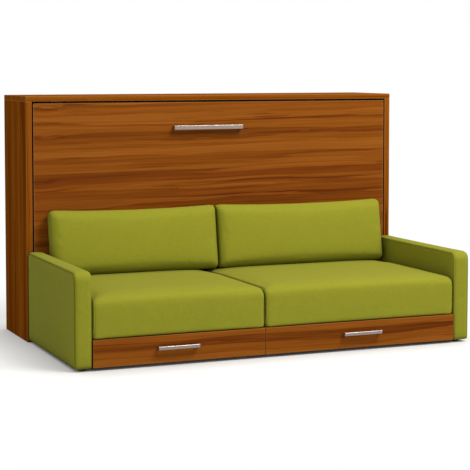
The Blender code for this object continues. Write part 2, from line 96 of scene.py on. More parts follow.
def addRod(name, sides, radius, length, middle=0.0):
    # An upright cylinder
    pick()
    bpy.ops.mesh.primitive_cylinder_add(vertices=sides, radius=radius, depth=length, location=(0, 0, middle))
    piece = named(name)
    settle(piece)
    return piece


def select(piece, kind, rule):
    # Selects faces or edges by a rule on their centre and normal (or direction), in edit mode
    mesh = bmesh.from_edit_mesh(piece.data)
    bpy.ops.mesh.select_all(action="DESELECT")
    mesh.normal_update()
    bpy.ops.mesh.select_mode(type=kind)
    if kind == "FACE":
        for face in mesh.faces:
            face.select_set(rule(face.calc_center_median(), face.normal))
    else:
        for edge in mesh.edges:
            edge.select_set(rule(*middleAndRun(edge)))
    bmesh.update_edit_mesh(piece.data)


def middleAndRun(edge):
    start, end = edge.verts[0].co, edge.verts[1].co
    return (start + end) / 2, (end - start).normalized()


def edit(piece):
    pick(piece)
    bpy.ops.object.mode_set(mode="EDIT")


def leave():
    bpy.ops.object.mode_set(mode="OBJECT")


def insetFaces(piece, rule, *steps):
    # Each step is a thickness and a depth
    edit(piece)
    select(piece, "FACE", rule)
    for thickness, depth in steps:
        bpy.ops.mesh.inset(thickness=thickness, depth=depth)
    leave()


def applyStep(piece, kind, **settings):
    pick(piece)
    step = piece.modifiers.new("step", kind)
    for key, value in settings.items():
        setattr(step, key, value)
    bpy.ops.object.modifier_apply(modifier=step.name)


def roundByWeight(piece, weightOf, radius, steps):
    # Each edge gets its own share of the radius, so unlike roundings meet cleanly
    edit(piece)
    mesh = bmesh.from_edit_mesh(piece.data)
    layer = mesh.edges.layers.float.new("bevel_weight_edge")
    for edge in mesh.edges:
        edge[layer] = weightOf(*middleAndRun(edge))
    bmesh.update_edit_mesh(piece.data)
    leave()
    applyStep(piece, "BEVEL", limit_method="WEIGHT", use_clamp_overlap=False, width=radius, segments=steps)


def soften(piece, width, steps=2, angle=35):
    # Bevels the sharp edges and makes the shading smooth
    limit = math.radians(angle)
    applyStep(piece, "BEVEL", width=width, segments=steps, limit_method="ANGLE", angle_limit=limit)
    bpy.ops.object.shade_smooth_by_angle(angle=limit)


def finishPiece(piece, body, finish):
    piece.data.materials.clear()
    piece.data.materials.append(materials[finish])
    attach(piece, body)


def copyPiece(piece, name, turn, place):
    # A copy with a mesh of its own, turned and placed
    twin = piece.copy()
    twin.data = piece.data.copy()
    twin.name = name
    twin.data.name = name
    bpy.context.collection.objects.link(twin)
    twin.data.transform(Matrix.Translation(Vector(place)) @ turn.to_4x4())
    return twin


def joinPieces(pieces, name):
    pick(pieces[0])
    for piece in pieces[1:]:
        piece.select_set(True)
    if len(pieces) > 1:
        bpy.ops.object.join()
    return named(name)


def nodeBox(name):
    low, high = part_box(name)
    return Vector(low), Vector(high)


# Material helpers

def feed(tree, socket, value):
    # An input is given as a value, or as the output that feeds it
    if isinstance(value, bpy.types.NodeSocket):
        tree.links.new(value, socket)
    else:
        socket.default_value = value


def addNode(tree, kind, inputs=None, **settings):
    node = tree.nodes.new("ShaderNode" + kind)
    for key, value in settings.items():
        setattr(node, key, value)
    for key, value in (inputs or {}).items():
        feed(tree, node.inputs[key], value)
    return node


def arrange(tree):
    # Lays the nodes out in columns, each one left of all that it feeds
    column = {node.name: 0 for node in tree.nodes}
    moving = True
    while moving:
        moving = False
        for link in tree.links:
            needed = column[link.to_node.name] + 1
            if column[link.from_node.name] < needed:
                column[link.from_node.name] = needed
                moving = True
    filled = {}
    for node in tree.nodes:
        place = column[node.name]
        node.location = (-220 * place, -260 * filled.get(place, 0))
        filled[place] = filled.get(place, 0) + 1


def startGroup(name, inputs, outputs):
    # The kind of an input follows from its default: a number, three for a vector, four for a colour
    tree = bpy.data.node_groups.new(name, "ShaderNodeTree")
    for title, value in inputs.items():
        kind = "Float" if isinstance(value, float) else {3: "Vector", 4: "Color"}[len(value)]
        socket = tree.interface.new_socket(name=title, in_out="INPUT", socket_type="NodeSocket" + kind)
        socket.default_value = value
    for title in outputs:
        kind = "Color" if title == "Color" else "Float"
        tree.interface.new_socket(name=title, in_out="OUTPUT", socket_type="NodeSocket" + kind)
    return tree, tree.nodes.new("NodeGroupInput").outputs, tree.nodes.new("NodeGroupOutput").inputs


def finishGroup(tree, result, values):
    for title, value in values.items():
        tree.links.new(value, result[title])
    arrange(tree)
    return tree


def mathNode(tree, operation, *values, clamp=False):
    return addNode(tree, "Math", dict(enumerate(values)), operation=operation, use_clamp=clamp).outputs[0]


def weighted(tree, *parts):
    # The sum of some values, each times its weight
    total = 0.0
    for value, weight in parts:
        total = mathNode(tree, "MULTIPLY_ADD", value, weight, total)
    return total


def vectorNode(tree, operation, *values):
    return addNode(tree, "VectorMath", dict(enumerate(values)), operation=operation).outputs["Vector"]


def shadeBy(tree, colour, amount):
    return addNode(tree, "VectorMath", {0: colour, "Scale": amount}, operation="SCALE").outputs["Vector"]


def mixColours(tree, factor, first, second, blend="MIX"):
    inputs = {"Factor": factor, "A": first, "B": second}
    return addNode(tree, "Mix", inputs, data_type="RGBA", blend_type=blend).outputs["Result"]


def noiseAt(tree, vector, scale, detail, roughness=0.5):
    inputs = {"Vector": vector, "Scale": scale, "Detail": detail, "Roughness": roughness}
    return addNode(tree, "TexNoise", inputs).outputs["Fac"]


def spread(tree, value, low, high, lowOut=0.0, highOut=1.0, **settings):
    inputs = {"Value": value, "From Min": low, "From Max": high, "To Min": lowOut, "To Max": highOut}
    return addNode(tree, "MapRange", inputs, **settings).outputs["Result"]


def swing(tree, value, amount):
    # A noise round a half becomes a change round nothing
    return mathNode(tree, "MULTIPLY", mathNode(tree, "SUBTRACT", value, 0.5), amount)


def objectPlace(tree):
    return addNode(tree, "TexCoord").outputs["Object"]


def mappedPlace(tree, turn=origin, shift=origin):
    inputs = {"Vector": objectPlace(tree), "Rotation": turn, "Location": shift}
    return addNode(tree, "Mapping", inputs).outputs["Vector"]


def bumpFrom(tree, height, strength, distance):
    inputs = {"Height": height, "Strength": strength, "Distance": distance}
    return addNode(tree, "Bump", inputs).outputs["Normal"]


def placeGroup(tree, group, inputs):
    return addNode(tree, "Group", inputs, node_tree=group).outputs


def startMaterial(name):
    material = bpy.data.materials.new(name)
    material.use_nodes = True
    return material, material.node_tree


def finishMaterial(material, inputs):
    tree = material.node_tree
    for key, value in inputs.items():
        feed(tree, tree.nodes["Principled BSDF"].inputs[key], value)
    arrange(tree)
    return material


# Layers of the wood decor: stretch along the grain, size, detail and roughness of each noise
grainLayers = {
    "bands": (0.026, 13.0, 4.0, 0.55),
    "streaks": (0.014, 75.0, 3.0, 0.6),
    "hairs": (0.010, 190.0, 2.0, 0.5),
    "fibres": (0.012, 420.0, 2.0, 0.5),
}
growthLines = ((11.0, 2.6, 2.6), (-16.0, 3.2, 3.4))  # pace, pull of the bands and sharpness


# Wood grain: long bands, sharper growth lines, fine streaks and fibres, all along the group's X axis
def makeGrainGroup():
    tree, given, result = startGroup(
        "wood grain",
        {"Vector": origin, "Light": (0.4, 0.15, 0.03, 1), "Middle": (0.27, 0.08, 0.01, 1),
         "Dark": (0.15, 0.035, 0.003, 1), "Line Depth": 0.5, "Roughness": 0.4},
        ("Color", "Height", "Roughness", "Across"))
    vector = given["Vector"]
    # The lines wander slowly and bend round a few small eyes
    sway = noiseAt(tree, vectorNode(tree, "MULTIPLY", vector, (0.55, 1.6, 1.6)), 1.5, 2.0)
    ripple = noiseAt(tree, vectorNode(tree, "MULTIPLY", vector, (1.6, 9.0, 9.0)), 1.8, 2.0)
    eyes = addNode(tree, "TexVoronoi", {
        "Vector": vectorNode(tree, "MULTIPLY", vector, (0.55, 1.9, 1.9)), "Scale": 2.6, "Smoothness": 0.3,
        "Randomness": 1.0}, feature="SMOOTH_F1")
    eye = spread(tree, eyes.outputs["Distance"], 0.26, 0.02, interpolation_type="SMOOTHSTEP")
    bend = weighted(tree, (sway, 0.045), (ripple, 0.004), (eye, 0.016))
    shift = addNode(tree, "CombineXYZ", {"Y": mathNode(tree, "MULTIPLY", bend, 0.6), "Z": bend})
    swayed = vectorNode(tree, "ADD", vector, shift.outputs["Vector"])
    bands, streaks, hairs, fibres = (
        noiseAt(tree, vectorNode(tree, "MULTIPLY", swayed, (along, 1.0, 1.0)), scale, detail, roughness)
        for along, scale, detail, roughness in grainLayers.values())
    # Growth lines: saw-teeth that fade slowly and end sharply, some upwards and some downwards
    across = addNode(tree, "SeparateXYZ", {"Vector": swayed}).outputs
    place = weighted(tree, (across["Y"], 0.9), (across["Z"], 1.0))
    edges = []
    for pace, pull, power in growthLines:
        phase = mathNode(tree, "MULTIPLY_ADD", place, pace, mathNode(tree, "MULTIPLY", bands, pull))
        edges.append(mathNode(tree, "POWER", mathNode(tree, "FRACT", phase), power))
    edges = weighted(tree, (edges[0], 1.0), (edges[1], 0.7))
    tone = weighted(tree, (bands, 0.85), (streaks, 0.46), (mathNode(tree, "SUBTRACT", hairs, 0.5), 0.34))
    tone = mathNode(tree, "SUBTRACT", tone, mathNode(tree, "MULTIPLY", edges, given["Line Depth"]))
    colour = mixColours(tree, spread(tree, tone, 0.23, 0.51), given["Dark"], given["Middle"])
    colour = mixColours(tree, spread(tree, tone, 0.51, 0.79), colour, given["Light"])
    return finishGroup(tree, result, {
        "Color": shadeBy(tree, colour, spread(tree, fibres, 0.3, 0.7, 0.93, 1.06)), "Height": fibres,
        "Roughness": mathNode(tree, "MULTIPLY_ADD", fibres, 0.10, given["Roughness"]), "Across": across["Z"]})


# Woven cloth: two sets of threads, a melange in the yarn and slow soft shading
def makeClothGroup():
    tree, given, result = startGroup(
        "woven cloth",
        {"Vector": origin, "Color": (0.3, 0.3, 0.03, 1), "Threads": 2600.0, "Melange": 0.12,
         "Soft Shading": 0.08},
        ("Color", "Height"))
    vector = given["Vector"]
    parts = addNode(tree, "SeparateXYZ", {"Vector": vector}).outputs
    waves = (mathNode(tree, "MULTIPLY", parts[axis], given["Threads"]) for axis in "XYZ")
    x, y, z = (mathNode(tree, "SINE", wave) for wave in waves)
    weave = spread(tree, weighted(tree, (x, y), (x, z), (y, z)), -1.2, 1.2)
    yarn = noiseAt(tree, vector, 420.0, 2.0, 0.6)
    clouds = noiseAt(tree, vector, 7.0, 3.0, 0.55)
    slub = noiseAt(tree, vectorNode(tree, "MULTIPLY", vector, (0.15, 1.0, 1.0)), 260.0, 2.0)
    warp = noiseAt(tree, vectorNode(tree, "MULTIPLY", vector, (1.0, 1.0, 0.15)), 260.0, 2.0)
    mixed = weighted(tree, (warp, 0.3), (slub, 0.3), (yarn, 0.4))
    clouded, mixed = swing(tree, clouds, given["Soft Shading"]), swing(tree, mixed, given["Melange"])
    total = mathNode(tree, "ADD", weighted(tree, (clouded, 4.0), (mixed, 4.0), (weave, 0.10)), 0.95)
    return finishGroup(tree, result, {"Color": shadeBy(tree, given["Color"], total),
                                      "Height": weighted(tree, (weave, 1.0), (yarn, 0.5))})


# Handled surface: faint dust and finger wear for metal, plastic and board
def makeWearGroup():
    tree, given, result = startGroup(
        "handled surface",
        {"Vector": origin, "Color": (0.5, 0.5, 0.5, 1), "Roughness": 0.4, "Brush Stretch": (1.0, 1.0, 1.0),
         "Grain Size": 300.0, "Amount": 0.1},
        ("Color", "Height", "Roughness"))
    brushed = vectorNode(tree, "MULTIPLY", given["Vector"], given["Brush Stretch"])
    grain = noiseAt(tree, brushed, given["Grain Size"], 3.0, 0.6)
    patches = noiseAt(tree, given["Vector"], 9.0, 3.0)
    change = swing(tree, weighted(tree, (grain, 0.6), (patches, 0.4)), given["Amount"])
    return finishGroup(tree, result, {
        "Color": shadeBy(tree, given["Color"], mathNode(tree, "ADD", change, 1.0)), "Height": grain,
        "Roughness": mathNode(tree, "ADD", change, given["Roughness"])})


# Board edges: a mask that is 1 along the edges of a board and 0 further in, and one for the rim itself
def makeEdgeGroup():
    tree, given, result = startGroup(
        "board edges",
        {"Vector": origin, "Low Corner": origin, "High Corner": (1.0, 1.0, 1.0), "Rim": 0.0, "Width": 0.004},
        ("Edge", "Rim"))
    room = vectorNode(tree, "MINIMUM", vectorNode(tree, "SUBTRACT", given["Vector"], given["Low Corner"]),
                      vectorNode(tree, "SUBTRACT", given["High Corner"], given["Vector"]))
    parts = addNode(tree, "SeparateXYZ", {"Vector": room}).outputs
    # On a face one distance is nothing, so the next one says how far the edge is
    smaller = mathNode(tree, "MINIMUM", parts["X"], parts["Y"])
    larger = mathNode(tree, "MINIMUM", mathNode(tree, "MAXIMUM", parts["X"], parts["Y"]), parts["Z"])
    inside = mathNode(tree, "SUBTRACT", mathNode(tree, "MAXIMUM", smaller, larger), given["Rim"])
    fading = mathNode(tree, "DIVIDE", inside, given["Width"])
    return finishGroup(tree, result, {"Edge": mathNode(tree, "SUBTRACT", 1.0, fading, clamp=True),
                                      "Rim": mathNode(tree, "LESS_THAN", inside, 0.0)})


grainGroup = makeGrainGroup()
edgeGroup = makeEdgeGroup()
clothGroup = makeClothGroup()
wearGroup = makeWearGroup()

wood = {
    "colours": {"Light": (0.315, 0.096, 0.0100, 1), "Middle": (0.228, 0.060, 0.0026, 1),
                "Dark": (0.118, 0.023, 0.0008, 1)},
    "bandTint": (0.62, 0.42, 0.15, 1),
    "bandLift": 0.030,  # the slow sway of the lines lifts them by about this much
    # Painted light on the boards: a lighter colour for highlights along their edges, and a nearly black one
    # for the shadow in the gap round the bed panel
    "rubbed": (0.50, 0.235, 0.075, 1),
    "joint": (0.012, 0.005, 0.002, 1),
    "slope": math.radians(1.0),  # the panel's grain climbs a little to the right
    # Painted shade: ambient occlusion darkens the decor in narrow gaps and joints
    "crevices": {"reach": 0.022, "depth": 0.96, "shut": 0.15, "clear": 0.55},
    "bump": (0.12, 0.0002),
}
# Broad bands of the bed panel: foot, head, fade at the foot, fade at the head, depth. The first, broad and
# soft, low on the panel, is painted shade; the others darken the decor in narrower stripes
panelBandsAndShade = (
    (0.560, 0.840, 0.050, 0.060, 0.20),
    (0.700, 0.765, 0.020, 0.030, 0.20),
    (0.828, 0.893, 0.004, 0.030, 0.70),
    (0.885, 0.962, 0.040, 0.004, 0.13),
    (1.060, 1.125, 0.006, 0.045, 0.12),
)
# Painted shade: ambient occlusion darkens the cloth over a wide reach, in creases and towards the joins of
# cushions and arms
clothPaintedShade = {"reach": 0.090, "depth": 0.27, "shut": 0.30, "clear": 0.92}


def addBands(tree, grain, bands, offset):
    # Each band darkens the decor between two heights, with a sharp or a soft edge; on the bed panel the broad
    # first band is painted shade
    colour = grain["Color"]
    for foot, head, footFade, headFade, depth in bands:
        foot, head = foot + offset, head + offset
        rising = spread(tree, grain["Across"], foot, foot + footFade)
        falling = spread(tree, grain["Across"], head, head - headFade)
        amount = mathNode(tree, "MULTIPLY", mathNode(tree, "MULTIPLY", rising, falling), depth)
        colour = mixColours(tree, amount, colour, wood["bandTint"], "MULTIPLY")
    return colour


def paintCreviceShade(tree, colour, reach, depth, shut, clear):
    # Painted shade: the colour is darkened by ambient occlusion in narrow gaps between boards or cushions,
    # which hold little light
    near = addNode(tree, "AmbientOcclusion", {"Distance": reach}, samples=6)
    return shadeBy(tree, colour, spread(tree, near.outputs["AO"], shut, clear, 1 - depth, 1.0))


def paintEdgeLightAndShade(tree, colour, board, rim, depth):
    # Painted highlight: the edges of a board are lightened where their small bevels catch light. Painted
    # shadow: a thin rim along the edge, used on the bed panel, is made nearly black for the shade in the gap
    # round it
    low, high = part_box(board)
    edges = placeGroup(tree, edgeGroup, {
        "Vector": objectPlace(tree), "Low Corner": low, "High Corner": high, "Rim": rim})
    colour = mixColours(tree, mathNode(tree, "MULTIPLY", edges["Edge"], depth), colour, wood["rubbed"])
    return mixColours(tree, edges["Rim"], colour, wood["joint"])


def makeWood(name, shift, lineDepth=0.27, roughness=0.42, shine=0.08, turn=origin, bands=(), board=None,
             rim=0.0, rubbing=0.40):
    material, tree = startMaterial(name)
    grain = placeGroup(tree, grainGroup, {
        "Vector": mappedPlace(tree, turn, shift), **wood["colours"], "Line Depth": lineDepth,
        "Roughness": roughness})
    colour = addBands(tree, grain, bands, shift[2] + wood["bandLift"])
    # Painted highlight along the board's edges, and painted shadow along its rim
    if board:
        colour = paintEdgeLightAndShade(tree, colour, board, rim, rubbing)
    # The base colour carries painted shade in narrow gaps
    return finishMaterial(material, {
        "Specular IOR Level": shine, "IOR": 1.45, "Roughness": grain["Roughness"],
        "Base Color": paintCreviceShade(tree, colour, **wood["crevices"]),
        "Normal": bumpFrom(tree, grain["Height"], *wood["bump"])})


def makeCloth(name, colour, threads, melange, shading, sheen, bump):
    material, tree = startMaterial(name)
    cloth = placeGroup(tree, clothGroup, {
        "Vector": mappedPlace(tree), "Color": (*colour, 1), "Threads": threads, "Melange": melange,
        "Soft Shading": shading})
    # The base colour carries painted shade in creases and joins
    return finishMaterial(material, {
        "Roughness": 0.92, "Sheen Weight": sheen, "Sheen Roughness": 0.45, "Specular IOR Level": 0.04,
        "Sheen Tint": tuple(min(1, part * 0.6 + 0.36) for part in colour) + (1,),
        "Base Color": paintCreviceShade(tree, cloth["Color"], **clothPaintedShade),
        "Normal": bumpFrom(tree, cloth["Height"], bump, 0.0004)})


def makeHandled(name, colour, roughness, metallic, stretch, grain, amount, bump, coat=0.0):
    material, tree = startMaterial(name)
    wear = placeGroup(tree, wearGroup, {
        "Vector": mappedPlace(tree), "Color": (*colour, 1), "Roughness": roughness, "Brush Stretch": stretch,
        "Grain Size": grain, "Amount": amount})
    return finishMaterial(material, {
        "Metallic": metallic, "Coat Weight": coat, "Base Color": wear["Color"],
        "Roughness": wear["Roughness"], "Normal": bumpFrom(tree, wear["Height"], bump, 0.0003)})


# Name, colour, threads, melange, soft shading, sheen, bump
cloths = {
    "sofaCloth": ("olive green upholstery", (0.264, 0.263, 0.0225), 2450.0, 0.15, 0.02, 0.08, 0.30),
    # Lighter than the cover: this cord's colour is a painted highlight along the seam
    "seamCloth": ("olive green seam cord", (0.33, 0.325, 0.035), 4200.0, 0.10, 0.04, 0.10, 0.20),
    # Dark cord: its colour is the painted shadow of the seam's groove
    "seamGroove": ("olive green seam groove", (0.135, 0.138, 0.009), 4200.0, 0.10, 0.04, 0.05, 0.20),
    "thread": ("olive sewing thread", (0.230, 0.235, 0.020), 6000.0, 0.10, 0.0, 0.10, 0.20),
    "ticking": ("mattress cover", (0.78, 0.77, 0.73), 3600.0, 0.05, 0.04, 0.10, 0.30),
    "tape": ("mattress edge tape", (0.50, 0.51, 0.52), 5200.0, 0.06, 0.03, 0.10, 0.30),
    "webbing": ("dark webbing", (0.035, 0.036, 0.040), 3100.0, 0.12, 0.04, 0.12, 0.60),
}
# Name, colour, roughness, metallic, stretch and size of the grain, amount, bump, coat
surfaces = {
    "board": ("melamine board", (0.60, 0.55, 0.46), 0.52, 0.0, (0.1, 1, 1), 240.0, 0.10, 0.06),
    "beech": ("lacquered beech", (0.60, 0.43, 0.25), 0.40, 0.0, (1, 1, 0.03), 260.0, 0.22, 0.05),
    "satinMetal": ("satin nickel", (0.472, 0.400, 0.358), 0.44, 1.0, (0.02, 1, 1), 900.0, 0.08, 0.008),
    "powderSteel": ("grey powder coat", (0.30, 0.31, 0.32), 0.46, 0.25, (1, 1, 1), 700.0, 0.10, 0.12),
    "zincSteel": ("zinc plated steel", (0.62, 0.63, 0.64), 0.28, 1.0, (1, 0.1, 1), 500.0, 0.14, 0.05),
    "blackSteel": ("black enamel", (0.020, 0.020, 0.022), 0.28, 0.0, (1, 1, 1), 500.0, 0.15, 0.04, 0.3),
    "rubber": ("black rubber", (0.025, 0.025, 0.026), 0.75, 0.0, (1, 1, 1), 600.0, 0.2, 0.15),
    "plastic": ("black plastic", (0.022, 0.022, 0.024), 0.42, 0.0, (1, 1, 1), 800.0, 0.15, 0.08),
}
materials = {
    "panelWood": makeWood("walnut decor, grain across", (0.0, 0.0, 0.475), 0.24, turn=(0, wood["slope"], 0),
                          bands=panelBandsAndShade, board="bed_panel", rim=0.0030),
    "topWood": makeWood("walnut decor, top board", (1.7, 0.31, 0.19), 0.14, 0.50, 0.0, board="cabinet_top",
                        rubbing=0.55),
    "carcassWood": makeWood("walnut decor, sofa base", (3.3, 0.57, 0.21)),
    "lowerWood": makeWood("walnut decor, lower panel", (2.6, 0.0, 0.55), board="lower_front_panel"),
}
for label in ("left", "right"):
    materials[f"sideWood.{label}"] = makeWood(
        f"walnut decor, upright grain, {label}", (0.4, 0.21, 0.62), 0.26, 0.50, 0.0, (0, quarterTurn, 0),
        board=f"cabinet_side_{label}")
    materials[f"drawerWood.{label}"] = makeWood(
        f"walnut decor, drawer front, {label}", (5.3, 0.0, 0.41), 0.32, board=f"drawer_front_{label}",
        rubbing=0.25)
for make, table in ((makeCloth, cloths), (makeHandled, surfaces)):
    for finish, values in table.items():
        materials[finish] = make(*values)
print("stage: materials made,", len(materials))


# The CAD nodes that stay take the finish of the real board or fitting: the first word that fits decides
nodeFinishes = {
    "cabinet_side": "sideWood", "cabinet_top": "topWood", "bed_panel": "panelWood",
    "lower_front_panel": "lowerWood", "drawer_front": "drawerWood", "handle": "satinMetal",
    "rail": "zincSteel", "slider": "zincSteel",
    "rod": "zincSteel", "bracket": "zincSteel", "plate": "powderSteel", "lever": "powderSteel",
    "bed_frame": "powderSteel", "barrel": "blackSteel", "bumper": "rubber", "foot": "plastic",
    "slat_mat": "beech", "base_": "carcassWood", "seat_deck": "carcassWood", "": "board",
}


def dressNodes():
    for name, node in nodes.items():
        finish = next(finish for word, finish in nodeFinishes.items() if word in name)
        if finish not in materials:
            finish += "." + name.split("_")[-1]
        for slot in node.material_slots:
            slot.material = materials[finish]


dressNodes()


# Soft pieces: a rounded block is remeshed, then padded out by cloth pressure

closeBy = 0.001  # an edge this near to a face counts as lying on it
paddingFrames = 20


def roundAcross(piece, low, high, front, radius, steps, topOnly=True):
    # Rounds the edges that run from left to right, at the block's front or at its rear
    def chosen(centre, direction):
        atSide = centre.y < low.y + closeBy if front else centre.y > high.y - closeBy
        return abs(direction.x) > 0.9 and atSide and (centre.z > high.z - closeBy or not topOnly)

    edit(piece)
    select(piece, "EDGE", chosen)
    bpy.ops.mesh.bevel(offset=radius, segments=steps, profile=0.5, clamp_overlap=False)
    leave()


def remesh(piece, voxel, smooth):
    applyStep(piece, "REMESH", mode="VOXEL", voxel_size=voxel)
    applyStep(piece, "SMOOTH", factor=0.5, iterations=smooth)


def readPoints(piece, kind="co"):
    values = np.empty(len(piece.data.vertices) * 3, np.float32)
    piece.data.vertices.foreach_get(kind, values)
    return values.reshape(-1, 3)


def writePoints(piece, points):
    piece.data.vertices.foreach_set("co", np.asarray(points, np.float32).ravel())
    piece.data.update()


def share(values, low, high):
    # 0 at the low end of a span and 1 at its high end
    return np.clip((values - low) / (high - low), 0, 1)


def inflate(piece, pressure, cap, stiffness=12, bending=0.6):
    # Cloth pressure for a few frames, with a cap on how far a point may move
    start, normals = readPoints(piece), readPoints(piece, "normal")
    pick(piece)
    cloth = piece.modifiers.new("padding", "CLOTH")
    cloth.settings.quality = 4
    cloth.settings.mass = 0.35
    cloth.settings.use_pressure = True
    cloth.settings.uniform_pressure_force = pressure
    cloth.settings.tension_stiffness = stiffness
    cloth.settings.compression_stiffness = stiffness
    cloth.settings.bending_stiffness = bending
    cloth.settings.effector_weights.gravity = 0
    cloth.point_cache.frame_start = 1
    cloth.point_cache.frame_end = paddingFrames
    for step in range(1, paddingFrames + 1):
        scene.frame_set(step)
    solved = piece.evaluated_get(bpy.context.evaluated_depsgraph_get())
    moves = readPoints(solved) - start
    piece.modifiers.remove(cloth)
    scene.frame_set(1)
    # The cover only swells: where the cloth is drawn in, little of that is kept
    outward = np.sum(moves * normals, axis=1, keepdims=True)
    moves = np.where(outward > 0, moves, moves - normals * outward * 0.9)
    lengths = np.linalg.norm(moves, axis=1, keepdims=True)
    writePoints(piece, start + moves * np.minimum(1.0, cap / np.maximum(lengths, 1e-9)))
    applyStep(piece, "SMOOTH", factor=0.5, iterations=2)


def fitTo(piece, low, high):
    # The padded form is brought back to the size that its cover has
    low, high = np.array(low), np.array(high)
    points = readPoints(piece)
    nowLow, nowHigh = points.min(axis=0), points.max(axis=0)
    writePoints(piece, low + (points - nowLow) / (nowHigh - nowLow) * (high - low))


def keepInside(piece, low, high):
    # A cushion lies flat where it rests on the deck or against its neighbour
    writePoints(piece, np.clip(readPoints(piece), np.array(low), np.array(high)))


def finishSoft(piece, levels=0):
    if levels:
        applyStep(piece, "SUBSURF", levels=levels, render_levels=levels)
    pick(piece)
    bpy.ops.object.shade_smooth()


def onSurface(piece, point, above):
    found, place, normal, face = piece.closest_point_on_mesh(Vector(point))
    return place + normal * above


def addTube(name, points, radius, body, finish):
    # A closed cord along the points
    curve = bpy.data.curves.new(name, "CURVE")
    curve.dimensions = "3D"
    curve.bevel_depth = radius
    curve.bevel_resolution = 2
    spline = curve.splines.new("POLY")
    spline.points.add(len(points) - 1)
    for point, place in zip(spline.points, points):
        point.co = (*place, 1)
    spline.use_cyclic_u = True
    tube = bpy.data.objects.new(name, curve)
    bpy.context.collection.objects.link(tube)
    pick(tube)
    bpy.ops.object.convert(target="MESH")
    tube = named(name)
    bpy.ops.object.shade_smooth()
    finishPiece(tube, body, finish)


def addSeam(name, piece, points, radius, sink, finish):
    # A seam cord is laid on the piece's surface and evened out, so it doesn't follow single faces
    path = [onSurface(piece, point, radius - sink) for point in points]
    for turn in range(3):
        around = zip(path[-1:] + path[:-1], path, path[1:] + path[:1])
        path = [(before + here * 2 + after) / 4 for before, here, after in around]
    addTube(name, path, radius, "root", finish)


def arc(across, up, radius, first, last, steps):
    # Points of a bend, in two axes
    angles = [math.radians(first + (last - first) * step / steps) for step in range(steps + 1)]
    return [(across + radius * math.cos(angle), up + radius * math.sin(angle)) for angle in angles]


def roundedLoop(left, right, low, high, radius, steps=8, spacing=0.02, footRadius=None):
    # Points round a rectangle with rounded corners, in two axes
    foot = footRadius or radius
    bends = (arc(right - radius, high - radius, radius, 0, 90, steps),
             arc(left + radius, high - radius, radius, 90, 180, steps),
             arc(left + foot, low + foot, foot, 180, 270, steps),
             arc(right - foot, low + foot, foot, 270, 360, steps))
    points = []
    for bend, following in zip(bends, bends[1:] + bends[:1]):
        start, end = bend[-1], following[0]
        count = max(1, int(math.dist(start, end) / spacing))
        points += bend
        for step in range(1, count):
            points.append(tuple(near + (far - near) * step / count for near, far in zip(start, end)))
    return points


seatCushion = {
    "frontRadius": 0.038,  # the waterfall over the front edge
    "endRadius": 0.035,
    "uprightShare": 0.45,  # the upright front edges are sharper than the top ones
    "crown": 0.016,
    "shrink": 0.004,
    "footCut": 0.014,
    "over": 0.006,
    "rise": 0.004,  # of the crown above the solid
    "riseCap": 0.005,
    "dip": 0.0075,
    "dipLead": 0.16,
    "voxel": 0.0110,
    "padding": {"pressure": 3.0, "cap": 0.007},
    "air": 0.0004,
    # The seam cord is lighter than the cover, a painted highlight
    "seam": {"radius": 0.0018, "sink": 0.0009, "finish": "seamCloth"},
    "seamRoom": {"end": 0.005, "front": 0.004, "rear": 0.012, "rim": 0.010},
    "seamBend": 0.045,
}


def makeSeatCushion(label):
    low, high = nodeBox(f"seat_cushion_{label}")
    shrink, over, air = seatCushion["shrink"], seatCushion["over"], seatCushion["air"]
    # The block reaches below the deck and is cut off there, which keeps the foot crisp
    inLow = low + Vector((shrink, shrink, -seatCushion["footCut"]))
    inHigh = high - Vector((shrink, shrink, shrink))
    piece = addBlock(f"seatCushion.{label}", inLow, inHigh)
    roundAcross(piece, inLow, inHigh, True, seatCushion["frontRadius"], 10)
    upright = seatCushion["uprightShare"]

    def endWeight(centre, direction):
        if min(centre.x - inLow.x, inHigh.x - centre.x) > closeBy or centre.z < inLow.z + closeBy:
            return 0.0
        towardsTop = (centre.z - inHigh.z) / seatCushion["frontRadius"] + 1
        return upright + (1 - upright) * min(1.0, max(0.0, towardsTop))

    roundByWeight(piece, endWeight, seatCushion["endRadius"], 5)
    remesh(piece, seatCushion["voxel"], 2)
    # The crown: the top swells towards the middle
    points = readPoints(piece)
    across = share(points[:, 0], inLow.x, inHigh.x) * 2 - 1
    along = share(points[:, 1], inLow.y, inHigh.y) * 2 - 1
    upper = share(points[:, 2], inLow.z, inHigh.z)
    points[:, 2] += seatCushion["crown"] * (1 - np.abs(across) ** 5) * (1 - along ** 8) * upper ** 3
    writePoints(piece, points)
    inflate(piece, **seatCushion["padding"])
    fitTo(piece, low + Vector((-over, 0, -seatCushion["footCut"])),
          high + Vector((over, -air, seatCushion["rise"])))
    # The ends are pressed flat by the arm and the next cushion, the foot by the deck
    keepInside(piece, low + Vector((air, 0, air)), high + Vector((-air, 0, seatCushion["riseCap"])))
    # The back cushion weighs the rear of the top down
    points = readPoints(piece)
    backFront, lead = nodeBox(f"back_cushion_{label}")[0].y, seatCushion["dipLead"]
    pressed = np.clip((points[:, 1] - backFront + lead) / lead, 0, 1)
    pressed = pressed * pressed * (3 - 2 * pressed)
    points[:, 2] -= seatCushion["dip"] * pressed * share(points[:, 2], low.z, high.z) ** 2
    writePoints(piece, points)
    finishSoft(piece, 1)
    finishPiece(piece, "root", "sofaCloth")
    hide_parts(f"seat_cushion_{label}")
    # A seam cord runs round each end panel, lighter than the cover as a painted highlight
    room = seatCushion["seamRoom"]
    loop = roundedLoop(low.y + room["front"], high.y - room["rear"], low.z + room["rim"],
                       high.z - room["rim"], seatCushion["seamBend"])
    for end, x in (("left", low.x + room["end"]), ("right", high.x - room["end"])):
        addSeam(f"seatSeam.{label}.{end}", piece, [(x, y, z) for y, z in loop], **seatCushion["seam"])


